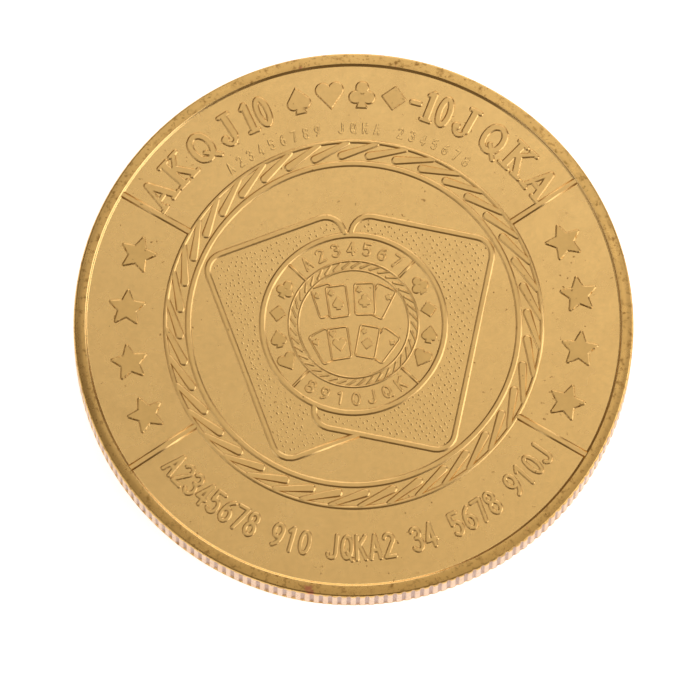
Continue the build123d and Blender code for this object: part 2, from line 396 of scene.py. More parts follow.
# the same with feet: each line has its share of the stroke
footedRanks = {
    "A": [(line(-0.28, -0.45, 0.0, 0.46), 0.75), (line(0.02, 0.42, 0.28, -0.42), 1.15),
          (line(-0.17, -0.16, 0.16, -0.16), 0.7), serif(-0.4, -0.16), serif(0.16, 0.44)],
    "K": [(line(-0.22, -0.42, -0.22, 0.42), 1.15), (line(0.24, 0.44, -0.2, -0.05), 0.75),
          (line(-0.06, 0.1, 0.26, -0.42), 1.1), serif(-0.38, -0.06), serif(-0.38, -0.06, 0.46),
          serif(0.14, 0.42), serif(0.12, 0.36, 0.46)],
    "Q": [(oval(0.3, 0.43), 1.0), (arcPath(-0.1, 0, 0.2, 0.4, 120, 120), 1.0),
          (arcPath(0.1, 0, 0.2, 0.4, -60, 120), 1.0), (line(0.0, -0.2, 0.34, -0.55), 0.8)],
    "J": [(line(0.1, 0.42, 0.1, -0.26), 1.15), (arcPath(-0.08, -0.26, 0.18, 0.22, 0, -165), 0.75),
          serif(-0.06, 0.26, 0.46), (line(-0.24, -0.26, -0.22, -0.24), 1.3)],
    "1": [(line(0.0, -0.42, 0.0, 0.42), 1.1), (line(-0.13, 0.34, -0.02, 0.44), 0.7),
          serif(-0.14, 0.14)],
    "0": [(oval(0.16, 0.43), 0.95)],
    "-": [(line(-0.12, 0, 0.12, 0), 0.9)],
}


def rankPart(marks, table, height, stroke, relief, slope, grid, spread=0.2, width=1.0):
    # one or two figures about their own middle
    lines = []
    for k, figure in enumerate(marks):
        shift = (k - (len(marks) - 1) / 2) * 2 * spread
        for points, share in table[figure]:
            at = [Vector(((p.x * width + shift) * height, p.y * height)) for p in points]
            lines.append((at, stroke * share / 2))
    reach = (height * (0.45 * width + spread * len(marks)) + stroke, height * 0.6 + stroke)
    return raise2d(strokeShape(lines), reach, relief, slope, grid)


def nodeTree(name, inputs):
    tree = bpy.data.node_groups.new(name, "GeometryNodeTree")
    tree.interface.new_socket("Geometry", in_out="INPUT", socket_type="NodeSocketGeometry")
    for label, kind in inputs:
        tree.interface.new_socket(label, in_out="INPUT", socket_type="NodeSocket" + kind)
    tree.interface.new_socket("Geometry", in_out="OUTPUT", socket_type="NodeSocketGeometry")
    return tree


def addNode(tree, kind, inputs=None, **values):
    # each input is a value or another node's output
    node = tree.nodes.new(kind)
    for key, value in values.items():
        setattr(node, key, value)
    for key, value in (inputs or {}).items():
        if hasattr(value, "is_linked"):
            tree.links.new(value, node.inputs[key])
        else:
            node.inputs[key].default_value = value
    return node


def math2(tree, operation, a, b):
    return addNode(tree, "ShaderNodeMath", {0: a, 1: b}, operation=operation).outputs[0]


def finishTree(tree, geometry, given):
    # the tree's geometry goes out with its finish on
    finish = addNode(tree, "GeometryNodeSetMaterial",
                     {"Geometry": geometry, "Material": given["Finish"]})
    addNode(tree, "NodeGroupOutput", {0: finish.outputs[0]})
    return tree


def turnedCopiesTree():
    # copies of a piece turned about the coin's axis, welded where they meet
    tree = nodeTree("turnedCopies", [("Piece", "Object"), ("Count", "Int"), ("Step", "Float"),
                                     ("Start", "Float"), ("Weld", "Float"),
                                     ("Finish", "Material")])
    given = addNode(tree, "NodeGroupInput").outputs
    points = addNode(tree, "GeometryNodeMeshLine",
                     {"Count": given["Count"], "Offset": (0, 0, 0)}, mode="OFFSET")
    piece = addNode(tree, "GeometryNodeObjectInfo", {"Object": given["Piece"]})
    place = addNode(tree, "GeometryNodeInputIndex").outputs[0]
    angle = math2(tree, "ADD", math2(tree, "MULTIPLY", place, given["Step"]), given["Start"])
    turn = addNode(tree, "ShaderNodeCombineXYZ", {"Z": angle})
    copies = addNode(tree, "GeometryNodeInstanceOnPoints", {
        "Points": points.outputs["Mesh"], "Instance": piece.outputs["Geometry"],
        "Rotation": turn.outputs[0]})
    real = addNode(tree, "GeometryNodeRealizeInstances", {0: copies.outputs[0]})
    weld = addNode(tree, "GeometryNodeMergeByDistance",
                   {"Geometry": real.outputs[0], "Distance": given["Weld"]})
    return finishTree(tree, weld.outputs[0], given)


def grainTree():
    # dots on a face: scattered over its area, or one at each vertex of a lattice, out of line
    tree = nodeTree("grain", [("Dot", "Object"), ("Scatter", "Bool"), ("Spacing", "Float"),
                              ("Jitter", "Float"), ("Smallest", "Float"), ("Largest", "Float"),
                              ("Seed", "Int"), ("Finish", "Material")])
    given = addNode(tree, "NodeGroupInput").outputs
    spread = addNode(tree, "GeometryNodeDistributePointsOnFaces", {
        "Mesh": given["Geometry"], "Distance Min": given["Spacing"], "Seed": given["Seed"],
        "Density Max": 4.0e7}, distribute_method="POISSON")
    lattice = addNode(tree, "GeometryNodeMeshToPoints", {"Mesh": given["Geometry"]})
    pick = addNode(tree, "GeometryNodeSwitch", {
        "Switch": given["Scatter"], "False": lattice.outputs[0],
        "True": spread.outputs["Points"]}, input_type="GEOMETRY")
    shake = addNode(tree, "FunctionNodeRandomValue", {
        "Min": (-1, -1, 0), "Max": (1, 1, 0), "Seed": given["Seed"]}, data_type="FLOAT_VECTOR")
    amount = addNode(tree, "ShaderNodeVectorMath",
                     {0: shake.outputs[0], "Scale": given["Jitter"]}, operation="SCALE")
    shift = addNode(tree, "GeometryNodeSetPosition",
                    {"Geometry": pick.outputs[0], "Offset": amount.outputs[0]})
    dot = addNode(tree, "GeometryNodeObjectInfo", {"Object": given["Dot"]})
    size = addNode(tree, "FunctionNodeRandomValue", {
        2: given["Smallest"], 3: given["Largest"],
        "Seed": math2(tree, "ADD", given["Seed"], 7)}, data_type="FLOAT")
    copies = addNode(tree, "GeometryNodeInstanceOnPoints", {
        "Points": shift.outputs[0], "Instance": dot.outputs["Geometry"],
        "Scale": size.outputs[1]})
    real = addNode(tree, "GeometryNodeRealizeInstances", {0: copies.outputs[0]})
    return finishTree(tree, real.outputs[0], given)


turnedCopies = turnedCopiesTree()
grain = grainTree()


def runTree(name, tree, start, values):
    # the tree's result as a plain mesh; values are given by the sockets' names
    carrier = newObject("carrier", start)
    modifier = carrier.modifiers.new("nodes", "NODES")
    modifier.node_group = tree
    for item in tree.interface.items_tree:
        if item.in_out == "INPUT" and item.name in values:
            modifier[item.identifier] = values[item.name]
    graph = bpy.context.evaluated_depsgraph_get()
    mesh = bpy.data.meshes.new_from_object(carrier.evaluated_get(graph), depsgraph=graph)
    mesh.name = name
    bpy.data.objects.remove(carrier)
    return mesh


def turned(name, part, count, step, start, material, weld=0.0005 * mm):
    piece = newObject("piece", newMesh("piece", *part))
    mesh = runTree(name, turnedCopies, bpy.data.meshes.new("empty"),
                   {"Piece": piece, "Count": count, "Step": math.radians(step),
                    "Start": math.radians(start), "Weld": weld, "Finish": material})
    bpy.data.objects.remove(piece)
    return mesh


def meshParts(mesh):
    return [tuple(v.co) for v in mesh.vertices], [tuple(p.vertices) for p in mesh.polygons]


goldFinish = {
    "colour": (0.90, 0.586, 0.226),
    "deep": (0.84, 0.51, 0.17),        # warmer patches
    "tarnish": (0.33, 0.155, 0.035),    # brown specks, mostly on the rim
    # colour of the painted shade and grime at the foot of the raised work and in the edge's
    # notches
    "grime": (0.30, 0.13, 0.03),
    "copper": (0.60, 0.22, 0.12),       # where the plating has worn off
    "pale": (0.76, 0.50, 0.31),         # the reeded edge
    "groove": (0.40, 0.23, 0.16),       # darker colour down in the reeds' grooves
    "paleFrom": 0.33 * mm, "paleTo": 0.48 * mm,       # from the rim's top
    "grooveFrom": 0.02 * mm, "grooveTo": 0.09 * mm,   # from the reeds' crests
    "rough": 0.20,
    "roughSpread": 0.12,
    "peel": 0.5,                        # strength of the struck field's fine waviness
    "scratch": 0.25,
}


def shaderNodes(material):
    material.use_nodes = True
    tree = material.node_tree
    tree.nodes.clear()
    shader = addNode(tree, "ShaderNodeBsdfPrincipled")
    addNode(tree, "ShaderNodeOutputMaterial", {0: shader.outputs[0]})
    return tree, shader


def metalNodes(name):
    material = bpy.data.materials.new(name)
    tree, shader = shaderNodes(material)
    shader.inputs["Metallic"].default_value = 1.0
    at = addNode(tree, "ShaderNodeTexCoord").outputs["Object"]
    return material, tree, shader, at


def noiseNode(tree, at, scale, detail=3.0, rough=0.55, stretch=None, turn=0.0):
    if stretch:
        at = addNode(tree, "ShaderNodeMapping", {
            "Vector": at, "Scale": stretch, "Rotation": (0, 0, math.radians(turn))}).outputs[0]
    return addNode(tree, "ShaderNodeTexNoise", {
        "Vector": at, "Scale": scale, "Detail": detail, "Roughness": rough}).outputs["Fac"]


def rampNode(tree, value, stops):
    node = addNode(tree, "ShaderNodeValToRGB", {"Fac": value})
    for element, (place, level) in zip(node.color_ramp.elements, stops):
        element.position = place
        element.color = (*level, 1) if isinstance(level, tuple) else (level, level, level, 1)
    return node.outputs["Color"]


def noiseRamp(tree, at, scale, detail, start, end, rough=0.55, stretch=None, turn=0.0):
    # a noise turned into patches: start and end are (noise, level)
    noise = noiseNode(tree, at, scale, detail, rough, stretch, turn)
    return rampNode(tree, noise, [start, end])


def mixNode(tree, factor, *colours, blend="MIX"):
    a, b = ((*c, 1) if isinstance(c, tuple) else c for c in colours)
    return addNode(tree, "ShaderNodeMix", {0: factor, 6: a, 7: b}, data_type="RGBA",
                   blend_type=blend).outputs[2]


def rangeNode(tree, value, start, end):
    # 0 at the start, 1 at the end
    return addNode(tree, "ShaderNodeMapRange",
                   {"Value": value, "From Min": start, "From Max": end}).outputs[0]


def edgeColour(tree, at, colour, look):
    # between the shoulders the colour is paler and pinker, and the grooves are dark
    place = addNode(tree, "ShaderNodeSeparateXYZ", {0: at}).outputs
    off = math2(tree, "ABSOLUTE", math2(tree, "SUBTRACT", place["Z"], coinMiddle), 0.0)
    half = (coinTop - coinBottom) / 2
    band = rangeNode(tree, off, half - look["paleFrom"], half - look["paleTo"])
    colour = mixNode(tree, band, colour, look["pale"])
    flat = addNode(tree, "ShaderNodeCombineXYZ", {"X": place["X"], "Y": place["Y"]})
    out = addNode(tree, "ShaderNodeVectorMath", {0: flat.outputs[0]}, operation="LENGTH")
    deep = rangeNode(tree, out.outputs["Value"], coinRadius - look["grooveFrom"],
                     coinRadius - look["grooveTo"])
    return mixNode(tree, math2(tree, "MULTIPLY", deep, band), colour, look["groove"])


def goldMaterial(name, look=goldFinish, edge=False):
    material, tree, shader, at = metalNodes(name)

    # slow changes of tone, then fine mottling
    slow = noiseRamp(tree, at, 160, 2, (0.35, 0.0), (0.7, 1.0))
    colour = mixNode(tree, slow, look["colour"], look["deep"])
    colour = mixNode(tree, 0.15, look["colour"], colour)
    mottle = noiseRamp(tree, at, 2600, 4, (0.3, 0.93), (0.65, 1.0), 0.6)
    colour = mixNode(tree, 1.0, colour, mottle, blend="MULTIPLY")

    # brown specks, and on the rim longer stains and spots worn to the copper
    specks = noiseRamp(tree, at, 3300, 2, (0.71, 0.0), (0.77, 0.8), 0.4)
    where = noiseRamp(tree, at, 210, 2, (0.45, 0.0), (0.6, 1.0))
    dirtAndShade = math2(tree, "MULTIPLY", specks, where)
    if edge:
        stain = noiseRamp(tree, at, 1700, 5, (0.54, 0.0), (0.68, 0.75), 0.7)
        dirtAndShade = math2(tree, "MAXIMUM", dirtAndShade, stain)
        fine = noiseRamp(tree, at, 4200, 2, (0.60, 0.0), (0.72, 0.6), 0.5)
        dirtAndShade = math2(tree, "MAXIMUM", dirtAndShade, fine)
    colour = mixNode(tree, dirtAndShade, colour, look["tarnish"])
    if edge:
        worn = noiseRamp(tree, at, 430, 3, (0.71, 0.0), (0.74, 0.9), 0.6)
        colour = mixNode(tree, worn, colour, look["copper"])
    # painted shade and grime lie along the foot of the raised work, in patches
    foot = addNode(tree, "ShaderNodeAttribute", attribute_name="grime").outputs["Fac"]
    patches = noiseRamp(tree, at, 520, 4, (0.42, 0.18), (0.62, 0.80), 0.65)
    grime = math2(tree, "MULTIPLY", foot, patches)
    dirtAndShade = math2(tree, "MAXIMUM", dirtAndShade, grime)
    colour = mixNode(tree, grime, colour, look["grime"])
    if edge:
        colour = edgeColour(tree, at, colour, look)

    # roughness: patches from handling, rougher where it is stained and grimed, and where the shade
    # is painted
    handled = noiseRamp(tree, at, 420, 4, (0.3, look["rough"]),
                        (0.75, look["rough"] + look["roughSpread"]), 0.6)
    rough = addNode(tree, "ShaderNodeMath", {0: dirtAndShade, 1: 0.3, 2: handled},
                    operation="MULTIPLY_ADD")

    # bump: the struck field's waviness, its grain, and hairline scratches
    first = noiseRamp(tree, at, 90, 3, (0.66, 0.0), (0.70, 1.0), 0.7, (60, 1.6, 1), 24)
    second = noiseRamp(tree, at, 110, 3, (0.68, 0.0), (0.72, 1.0), 0.7, (1.4, 55, 1), 38)
    bump = {}
    for height, strength, distance in (
            (noiseNode(tree, at, 900, 2, 0.5), look["peel"], 0.0022 * mm),
            (noiseNode(tree, at, 6500, 2, 0.5), 0.5, 0.0007 * mm),
            (math2(tree, "MAXIMUM", first, second), -look["scratch"], 0.003 * mm)):
        node = addNode(tree, "ShaderNodeBump", {
            "Strength": abs(strength), "Distance": distance, "Height": height, **bump},
            invert=strength < 0)
        bump = {"Normal": node.outputs[0]}
    for key, value in (("Base Color", colour), ("Roughness", rough.outputs[0]),
                       ("Normal", bump["Normal"])):
        tree.links.new(value, shader.inputs[key])
    return material


reliefFinish = {**goldFinish, "colour": (0.87, 0.56, 0.21), "deep": (0.80, 0.48, 0.155),
                "rough": 0.27, "peel": 0.7}
fieldGold = goldMaterial("goldField")
reliefGold = goldMaterial("goldRelief", reliefFinish)
matteGold = goldMaterial("goldMatte", {**reliefFinish, "colour": (0.82, 0.525, 0.19),
                                        "rough": 0.30})
rimFinish = {**goldFinish, "colour": (0.79, 0.49, 0.165), "deep": (0.70, 0.40, 0.115),
             "peel": 0.9, "rough": 0.24}
rimGold = goldMaterial("goldRim", rimFinish, edge=True)
print("finishes made")


# Everything is made on the obverse, at the field's level, and turned over for the reverse.

sidePieces = []


def addPiece(name, parts, material):
    mesh = joinMeshes(name, parts)
    mesh.materials.clear()
    mesh.materials.append(material)
    # painted shade and grime: darker the nearer a vertex is to the field, along the foot of the
    # raised work
    grime = mesh.attributes.new("grime", "FLOAT", "POINT")
    if name not in ("field", "cardGrain", "faintLegend"):
        for v, mark in zip(mesh.vertices, grime.data):
            height = (v.co.z - fieldZ) / face["fineHeight"]
            mark.value = min(1.0, max(0.0, 1.0 - height * 1.3))
    for p in mesh.polygons:
        heights = [mesh.vertices[i].co.z for i in p.vertices]
        p.use_smooth = name == "field" or max(heights) - min(heights) > 1e-8
    sidePieces.append((name, mesh))


# field, with the rim's inner wall
def fieldPart():
    rows = [(0, fieldZ)]
    rows += [(rimInner * k / 24, fieldZ) for k in range(1, 24)]
    rows.append((rimInner - face["wallRun"] * 0.4 - 0.02 * mm, fieldZ))
    for k in range(9):
        t = k / 8
        rows.append((rimInner + face["wallRun"] * (t - 0.4), fieldZ + face["rimHeight"] * rise(t)))
    return lathe(rows, face["segments"])


field = fieldPart()
addPiece("field", [field], fieldGold)

# edge: one reed's strip from rim to rim, turned all the way round
edge = {
    "reeds": 190,
    "depth": 0.12 * mm,
    "cutter": 0.20 * mm,
    "crest": 0.22 * mm,         # flat top of the rim, from the inner wall outwards
    "fallEnd": 0.20 * mm,       # the gentle outward fall stops this far inside the edge
    "fall": 0.065 * mm,
    "shoulder": 0.24 * mm,      # height of the rounded shoulder under the fall
    "runOut": 0.16 * mm,        # the grooves fade out over this height under the shoulder
    "columns": 10,
}


def reedStrip(e):
    pitch = 2 * math.pi / e["reeds"]
    centre = coinRadius - e["depth"] + e["cutter"]
    inner = rimInner + face["wallRun"] * 0.6
    fallStart, fallEnd = inner + e["crest"], coinRadius - e["fallEnd"]
    rows = [(inner, coinTop), (fallStart, coinTop)]
    for k in range(1, 5):
        t = k / 4
        rows.append((fallStart + (fallEnd - fallStart) * t,
                     coinTop - e["fall"] * t * (0.6 + 0.4 * t)))
    shoulderTop = coinTop - e["fall"]
    for k in range(1, 8):
        a = math.radians(90 - 90 * k / 7)
        rows.append((fallEnd + e["fallEnd"] * math.cos(a),
                     shoulderTop - e["shoulder"] * (1 - math.sin(a))))
    shoulderEnd = shoulderTop - e["shoulder"]
    rows += [(coinRadius, shoulderEnd - e["runOut"] * k / 4) for k in range(1, 5)]
    rows.append((coinRadius, coinMiddle))
    rows += [(r, coinTop + coinBottom - z) for r, z in reversed(rows[:-1])]
    verts, faces = [], []
    n = e["columns"] + 1
    for r, z in rows:
        # depth of the groove here, from nothing at the shoulder's end to full under it
        under = coinTop - shoulderEnd + 0.02 * mm
        below = (coinTop - coinBottom) / 2 - abs(z - coinMiddle) - under
        t = min(1.0, max(0.0, below / e["runOut"] + 0.15)) if r == coinRadius else 0.0
        share = math.sqrt(t * (2 - t))
        for k in range(n):
            a = pitch * (k / e["columns"] - 0.5)
            s = centre * math.sin(a)
            cut = coinRadius
            if abs(s) < e["cutter"]:
                cut = min(cut, centre * math.cos(a) - math.sqrt(e["cutter"] ** 2 - s * s))
            rr = r - (coinRadius - cut) * share
            verts.append((rr * math.cos(a), rr * math.sin(a), z))
    for i in range(len(rows) - 1):
        for k in range(e["columns"]):
            a = i * n + k
            faces.append((a, a + n, a + n + 1, a + 1))
    return verts, faces


def notchShoulder(mesh, e, n):
    # on part of the way round the grooves also bite into the shoulder, with dirt and painted shade
    # there
    pitch = 2 * math.pi / e["reeds"]
    grime = mesh.attributes.new("grime", "FLOAT", "POINT")
    for v, mark in zip(mesh.vertices, grime.data):
        r, a = math.hypot(v.co.x, v.co.y), math.atan2(v.co.y, v.co.x)
        near = math.cos(a - math.radians(n["middle"]))
        share = max(0.0, (near - n["reach"]) / (1 - n["reach"])) ** 0.5
        off = abs((a / pitch + 0.5) % 1.0 - 0.5) * pitch * r
        top = coinTop if v.co.z > coinMiddle else coinBottom
        under = abs(top - v.co.z)
        if r < coinRadius - n["bite"] or off > n["halfWidth"] or under > n["height"]:
            continue
        arch = math.sqrt(1 - (off / n["halfWidth"]) ** 2) * share
        r2 = min(r, coinRadius - n["bite"] * arch)
        v.co.x, v.co.y = r2 * math.cos(a), r2 * math.sin(a)
        mark.value = min(1.0, n["dirtAndShade"] * arch) if under > n["dirtAndShadeFrom"] else 0.0
    mesh.update()


# dirt and painted shade in the notches: their strength, and how far under the top they start
notches = {"middle": -58, "reach": 0.72, "bite": 0.11 * mm, "halfWidth": 0.15 * mm,
           "height": 0.52 * mm, "dirtAndShade": 1.5, "dirtAndShadeFrom": 0.10 * mm}
edgeMesh = turned("reededEdge", reedStrip(edge), edge["reeds"], 360 / edge["reeds"], 0, rimGold)
notchShoulder(edgeMesh, edge, notches)
for p in edgeMesh.polygons:
    p.use_smooth = True
print("edge", len(edgeMesh.polygons), "faces")

# rope ring
rope = {
    "borderRadius": 13.45 * mm, "borderWidth": 0.22 * mm,
    "innerRadius": 11.81 * mm, "innerWidth": 0.36 * mm,
    "slope": 0.13 * mm,
}
ropeStrands = {
    "count": 40, "ring": rope["borderRadius"], "end": 12.42 * mm, "lean": 17.5, "start": 2.1,
    "width": 0.55 * mm, "height": face["lineHeight"], "slope": rope["slope"],
}


def strandPart(length, width, height, slope):
    # a raised bar with round ends along +X from the origin, as outlines one inside another
    rings = 5
    verts, faces = [], []
    perEnd = 7
    for k in range(rings):
        t = k / (rings - 1)
        r = width / 2 + slope * (0.5 - t)
        h = height * rise(t) if k else -face["sink"]
        for cx, start in ((length, -90), (0, 90)):
            for q in arcPath(cx, 0, r, r, start, 180, perEnd - 1):
                verts.append((q.x, q.y, fieldZ + h))
    n = 2 * perEnd
    for k in range(rings - 1):
        for i in range(n):
            j = (i + 1) % n
            faces.append((k * n + i, k * n + j, (k + 1) * n + j, (k + 1) * n + i))
    faces.append(tuple(range((rings - 1) * n, rings * n)))
    return verts, faces


def cutAt(part, radius):
    # what reaches past a ring's middle line is pulled back to it
    verts = []
    for x, y, z in part[0]:
        share = min(1.0, radius / math.hypot(x, y))
        verts.append((x * share, y * share, z))
    return verts, part[1]


def strandParts(name, s):
    # strands that lean out to a ring, all the way round it
    a = math.radians(s["lean"])
    run = -s["end"] * math.sin(a) + math.sqrt(s["ring"] ** 2 - (s["end"] * math.cos(a)) ** 2)
    strand = moved(strandPart(run, s["width"], s["height"], s["slope"]), s["end"], 0,
                   s["lean"] - 90)
    return [meshParts(turned(name, cutAt(strand, s["ring"]), s["count"], 360 / s["count"],
                             s["start"], reliefGold))]


addPiece("ropeStrands", strandParts("ropeStrands", ropeStrands), reliefGold)
addPiece("ropeRings", [
    ringRidge(rope["borderRadius"], rope["borderWidth"], face["lineHeight"], rope["slope"]),
    ringRidge(rope["innerRadius"], rope["innerWidth"], face["lineHeight"], rope["slope"]),
], reliefGold)
print("rope made")

# bars that part the outer band
bars = {"halfAngle": 58.2, "width": 0.40 * mm, "slope": 0.13 * mm, "overlap": 0.05 * mm}


def barParts(halfAngle, start, end, width, height, slope):
    # four bars between two radii, mirrored about both axes
    parts = []
    for middle in (90, 270):
        for side in (-1, 1):
            path = [Vector(onRing(r, middle + side * halfAngle)) for r in (start, end)]
            parts.append(sweepRidge(path, width, height, slope))
    return parts


addPiece("bandBars",
         barParts(bars["halfAngle"], rope["borderRadius"], rimInner + bars["overlap"],
                  bars["width"], face["lineHeight"], bars["slope"]), reliefGold)

# stars
stars = {"ring": 16.22 * mm, "radius": 1.25 * mm, "waist": 0.59 * mm, "round": 0.09 * mm,
         "step": 14.2, "count": 4, "drop": 1.2, "slope": 0.13 * mm, "grid": 0.042 * mm}


def starParts(s):
    points = []
    for k in range(10):
        r = s["radius"] if k % 2 == 0 else s["waist"]
        a = math.radians(90 + 36 * k)
        points.append(Vector((r * math.cos(a), r * math.sin(a))))
    one = raise2d(polygonShape(points, s["round"]), (1.5 * mm, 1.5 * mm),
                  face["lineHeight"], s["slope"], s["grid"])
    parts = []
    for side in (1, -1):
        star = moved(one, side * s["ring"], 0, 0)
        mesh = turned("stars", star, s["count"], s["step"],
                      -1.5 * s["step"] - side * s["drop"], reliefGold)
        parts.append(meshParts(mesh))
    return parts


addPiece("stars", starParts(stars), matteGold)
print("stars made")

# two playing cards
cards = {
    "width": 10.22 * mm, "height": 15.87 * mm, "corner": 1.31 * mm,   # along the line's middle
    "line": 0.36 * mm, "slope": 0.13 * mm,
    "left": (-3.28 * mm, -0.90 * mm, 18.5),
    "right": (3.51 * mm, -0.75 * mm, -13.4),
}
chip = {
    "radius": 6.53 * mm, "ringWidth": 0.36 * mm, "slope": 0.13 * mm,
    "band": 4.63 * mm, "window": 3.95 * mm, "thread": 0.11 * mm, "threadSlope": 0.09 * mm,
    "barHalfAngle": 45.0, "barWidth": 0.16 * mm, "barGap": 0.1 * mm,
    "pipRing": 5.47 * mm, "pipStep": 19.5, "pipHeight": 1.30 * mm,
    "grid": 0.04 * mm,
}


def onCard(size, card, x, y, margin=0):
    # whether a point is on a card, further in than the margin
    cx, cy, turn = card
    c, s = math.cos(math.radians(turn)), math.sin(math.radians(turn))
    px, py = c * (x - cx) + s * (y - cy), -s * (x - cx) + c * (y - cy)
    return abs(px) < size["width"] / 2 - margin and abs(py) < size["height"] / 2 - margin


def openRuns(path, hidden):
    # the stretches of a closed path that nothing covers
    count = len(path)
    fine = []
    for i, p in enumerate(path):
        q = path[(i + 1) % count]
        steps = max(1, round((q - p).length / (0.12 * mm)))
        fine += [p.lerp(q, k / steps) for k in range(steps)]
    shown = [not hidden(p) for p in fine]
    if all(shown):
        return [fine + fine[:1]]
    first = next(i for i in range(len(fine)) if shown[i] and not shown[i - 1])
    runs, run = [], []
    for k in range(len(fine)):
        i = (first + k) % len(fine)
        if shown[i]:
            run.append(fine[i])
        elif run:
            runs.append(run)
            run = []
    if run:
        runs.append(run)
    return [r for r in runs if len(r) > 2]


def thinned(path):
    # keeps the ends and the points where the path turns
    out = [path[0]]
    for a, b, c in zip(path, path[1:], path[2:]):
        if (b - a).angle(c - b) > 0.004:
            out.append(b)
    return out + [path[-1]]


def cardParts():
    outline = roundedCard(cards["width"], cards["height"], cards["corner"])
    left = placed(outline, *cards["left"])
    right = placed(outline, *cards["right"])

    def underChip(p):
        return p.length < chip["radius"]

    def covered(p):
        return underChip(p) or onCard(cards, cards["right"], p.x, p.y)

    parts = []
    for path, hidden in ((left, covered), (right, underChip)):
        for run in openRuns(path, hidden):
            parts.append(sweepRidge(thinned(run), cards["line"], face["lineHeight"],
                                    cards["slope"]))
    return parts


addPiece("cardOutlines", cardParts(), reliefGold)
print("cards made")

# grain on the cards' faces
cardGrain = {"dot": 0.09 * mm, "dotHeight": 0.038 * mm, "spacing": 0.29 * mm,
             "lattice": 0.40 * mm, "jitter": 0.06 * mm, "seed": 11,
             "clearLine": 0.16 * mm, "clearChip": 0.34 * mm, "clearCard": 0.3 * mm}


def dotPart(g):
    rows = ((0, 1), (0.55, 0.78), (0.95, 0.18))
    profile = [(r * g["dot"], z * g["dotHeight"]) for r, z in rows]
    return lathe(profile + [(1.25 * g["dot"], -face["sink"])], 8)


def cardFace(card, over, spacing, turn):
    # a flat lattice over the part of a card that shows
    c, s = math.cos(math.radians(turn)), math.sin(math.radians(turn))
    margin = cards["line"] * 0.5 + cardGrain["clearLine"]
    index, verts, faces = {}, [], []
    reach = math.ceil(0.68 * cards["height"] / spacing)
    for i in range(-reach, reach):
        for j in range(-reach, reach):
            x = card[0] + (c * i - s * j) * spacing
            y = card[1] + (s * i + c * j) * spacing
            if not onCard(cards, card, x, y, margin):
                continue
            if math.hypot(x, y) < chip["radius"] + cardGrain["clearChip"]:
                continue
            if over and onCard(cards, over, x, y, -cardGrain["clearCard"]):
                continue
            index[i, j] = len(verts)
            verts.append((x, y, fieldZ))
    for (i, j), a in index.items():
        others = [(i + 1, j), (i + 1, j + 1), (i, j + 1)]
        if all(k in index for k in others):
            faces.append((a, *(index[k] for k in others)))
    return newMesh("cardFace", verts, faces)


def grainParts(g):
    dot = newObject("dot", newMesh("dot", *dotPart(g)))
    shared = {"Dot": dot, "Jitter": g["jitter"], "Spacing": g["spacing"], "Seed": g["seed"],
              "Finish": reliefGold}
    leftFace = cardFace(cards["left"], cards["right"], 0.2 * mm, cards["left"][2])
    rightFace = cardFace(cards["right"], None, g["lattice"], cards["right"][2] + 45)
    meshes = [
        runTree("leftGrain", grain, leftFace,
                {**shared, "Scatter": True, "Smallest": 0.55, "Largest": 1.05}),
        runTree("rightGrain", grain, rightFace,
                {**shared, "Scatter": False, "Smallest": 0.65, "Largest": 1.1}),
    ]
    bpy.data.objects.remove(dot)
    return [meshParts(m) for m in meshes]


grainMade = grainParts(cardGrain)
addPiece("cardGrain", grainMade, reliefGold)
print("grain", sum(len(f) for _, f in grainMade), "faces")

# chip: rings, small rope, bars
addPiece("chipRings", [
    ringRidge(chip["radius"], chip["ringWidth"], face["lineHeight"], chip["slope"]),
    ringRidge(chip["band"], chip["thread"], face["fineHeight"], chip["threadSlope"]),
    ringRidge(chip["window"], chip["thread"], face["fineHeight"], chip["threadSlope"]),
], reliefGold)
chipStrands = {
    "count": 40, "ring": chip["band"], "end": 4.16 * mm, "lean": 31.0, "start": 0,
    "width": 0.15 * mm, "height": 0.040 * mm, "slope": chip["threadSlope"],
}
addPiece("chipStrands", strandParts("chipStrands", chipStrands), reliefGold)
addPiece("chipBars",
         barParts(chip["barHalfAngle"], chip["band"], chip["radius"] - chip["barGap"],
                  chip["barWidth"], face["fineHeight"], chip["threadSlope"]), reliefGold)


def chipPipParts(c):
    parts = []
    for suit, order in (("heart", -1.5), ("spade", -0.5), ("diamond", 0.5), ("club", 1.5)):
        reach = (0.75 * c["pipHeight"], 0.75 * c["pipHeight"])
        pip = raise2d(pipShape(suit, c["pipHeight"]), reach, face["fineHeight"] * 1.35,
                      c["threadSlope"] * 1.1, c["grid"])
        right, left = order * c["pipStep"], 180 - order * c["pipStep"]
        parts.append(moved(pip, *onRing(c["pipRing"], right), right))
        parts.append(moved(pip, *onRing(c["pipRing"], left), left - 180))
    return parts


addPiece("chipPips", chipPipParts(chip), matteGold)


def ringOfRanks(w):
    # single plain figures along a ring, upright at the top and the bottom alike
    parts, side = [], 1 if w["middle"] > 0 else -1
    for k, mark in enumerate(w["marks"]):
        if mark == " ":
            continue
        angle = w["middle"] - side * (k - (len(w["marks"]) - 1) / 2) * w["pitch"]
        part = rankPart([mark], plainRanks, w["height"], w["stroke"], w["relief"], w["slope"],
                        w["grid"], width=w["width"])
        parts.append(moved(part, *onRing(w["radius"], angle), angle - side * 90))
    return parts


chipRanks = {
    "radius": 5.52 * mm, "pitch": 11.8, "height": 0.86 * mm, "stroke": 0.15 * mm, "width": 1.5,
    "relief": face["fineHeight"], "slope": 0.07 * mm, "grid": 0.034 * mm,
}
addPiece("chipRanks", ringOfRanks({**chipRanks, "marks": "A234567", "middle": 90})
         + ringOfRanks({**chipRanks, "marks": "8910JQK", "middle": -90}), reliefGold)
print("chip made")

